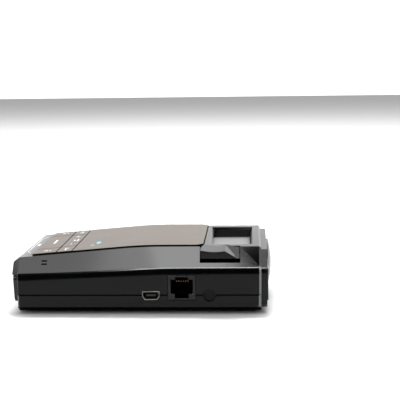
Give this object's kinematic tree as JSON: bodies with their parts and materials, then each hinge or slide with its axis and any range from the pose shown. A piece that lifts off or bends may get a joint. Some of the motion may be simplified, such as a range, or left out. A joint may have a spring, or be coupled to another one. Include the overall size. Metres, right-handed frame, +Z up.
{
  "type": "radar detector",
  "caption": "Dashboard radar detector with a sloping keypad, a bracket socket with a release button, side connectors and a front lens.",
  "frame": {"origin": "centre of the footprint, on the surface that the rubber feet rest on", "axes": "+X from the rear display to the front lens, +Y to the far side away from the connectors, +Z up"},
  "size_m": [0.116, 0.069, 0.03],
  "materials": {
    "case_plastic": "fine satin moulded plastic",
    "collar_plastic": "fine satin moulded plastic",
    "plate_paint": "satin warm grey metallic paint",
    "infrared_window": "deep violet, polished",
    "clear_lens": "clear, polished",
    "inner_plastic": "plain moulded",
    "diode_epoxy": "dark epoxy",
    "cast_zinc": "cast, slightly rough",
    "tin_plate": "tin plated sheet",
    "circuit_board": "green solder mask",
    "chip_epoxy": "moulded epoxy",
    "display_gloss": "black, polished",
    "display_glass": "dark glass",
    "speaker_steel": "plated steel frame",
    "jack_nylon": "moulded nylon",
    "contact_gold": "gold flashed",
    "port_steel": "bright plated steel",
    "port_plug": "plain moulded",
    "gasket_rubber": "matt silicone",
    "switch_steel": "stamped",
    "screw_steel": "zinc plated",
    "foot_rubber": "matt rubber",
    "blank_label": "blank paper film",
    "button_plastic": "satin moulded plastic",
    "spring_steel": "drawn wire",
    "key_paint": "satin warm grey paint with printed marks"
  },
  "bodies": {
    "case": {"top_housing": "case_plastic", "bottom_housing": "case_plastic", "front_bezel": "collar_plastic", "top_plate": "plate_paint", "antenna_window": "infrared_window", "side_window": "infrared_window", "laser_lens": "clear_lens", "sensor_holder": "inner_plastic", "photodiode": "diode_epoxy", "horn_antenna": "cast_zinc", "rf_shield": "tin_plate", "main_board": "circuit_board", "processor_chip": "chip_epoxy", "display_window": "display_gloss", "display_module": "display_glass", "speaker": "speaker_steel", "power_jack": "jack_nylon", "power_contacts": "contact_gold", "usb_shell": "port_steel", "usb_tongue": "inner_plastic", "audio_port_plug": "port_plug", "keypad_board": "circuit_board", "key_gasket": "gasket_rubber", "tact_switches": "switch_steel", "case_screws": "screw_steel", "rubber_feet": "foot_rubber", "rating_label": "blank_label", "release_spring": "spring_steel"},
    "release": {"release_button": "button_plastic", "release_latch": "inner_plastic"},
    "volume": {"key_volume": "key_paint"},
    "rear_middle_key": {"key_rear_middle": "key_paint"},
    "rear_near_key": {"key_rear_near": "key_paint"},
    "rear_far_key": {"key_rear_far": "key_paint"},
    "front_near_key": {"key_front_near": "key_paint"},
    "front_far_key": {"key_front_far": "key_paint"}
  },
  "joints": [
    {"name": "rear_middle_press", "type": "slide", "parent": "case", "child": "rear_middle_key", "axis": [0.0828, 0, -0.9966], "range_m": [0, 0.0004], "stiffness_N_per_m": 600},
    {"name": "rear_near_press", "type": "slide", "parent": "case", "child": "rear_near_key", "axis": [0.0828, 0, -0.9966], "range_m": [0, 0.0004], "stiffness_N_per_m": 600},
    {"name": "rear_far_press", "type": "slide", "parent": "case", "child": "rear_far_key", "axis": [0.0828, 0, -0.9966], "range_m": [0, 0.0004], "stiffness_N_per_m": 600},
    {"name": "front_near_press", "type": "slide", "parent": "case", "child": "front_near_key", "axis": [0.0828, 0, -0.9966], "range_m": [0, 0.0004], "stiffness_N_per_m": 600},
    {"name": "front_far_press", "type": "slide", "parent": "case", "child": "front_far_key", "axis": [0.0828, 0, -0.9966], "range_m": [0, 0.0004], "stiffness_N_per_m": 600},
    {"name": "volume_rock", "type": "hinge", "parent": "case", "child": "volume", "pos_m": [-0.03467, 0, 0.02605], "axis": [0.9966, 0, 0.0828], "range_deg": [-1.8, 1.8], "stiffness_Nm_per_rad": 0.02},
    {"name": "release_press", "type": "slide", "parent": "case", "child": "release", "axis": [0, 0, -1], "range_m": [0, 0.0015], "stiffness_N_per_m": 800, "deforming": ["release_spring"]}
  ]
}
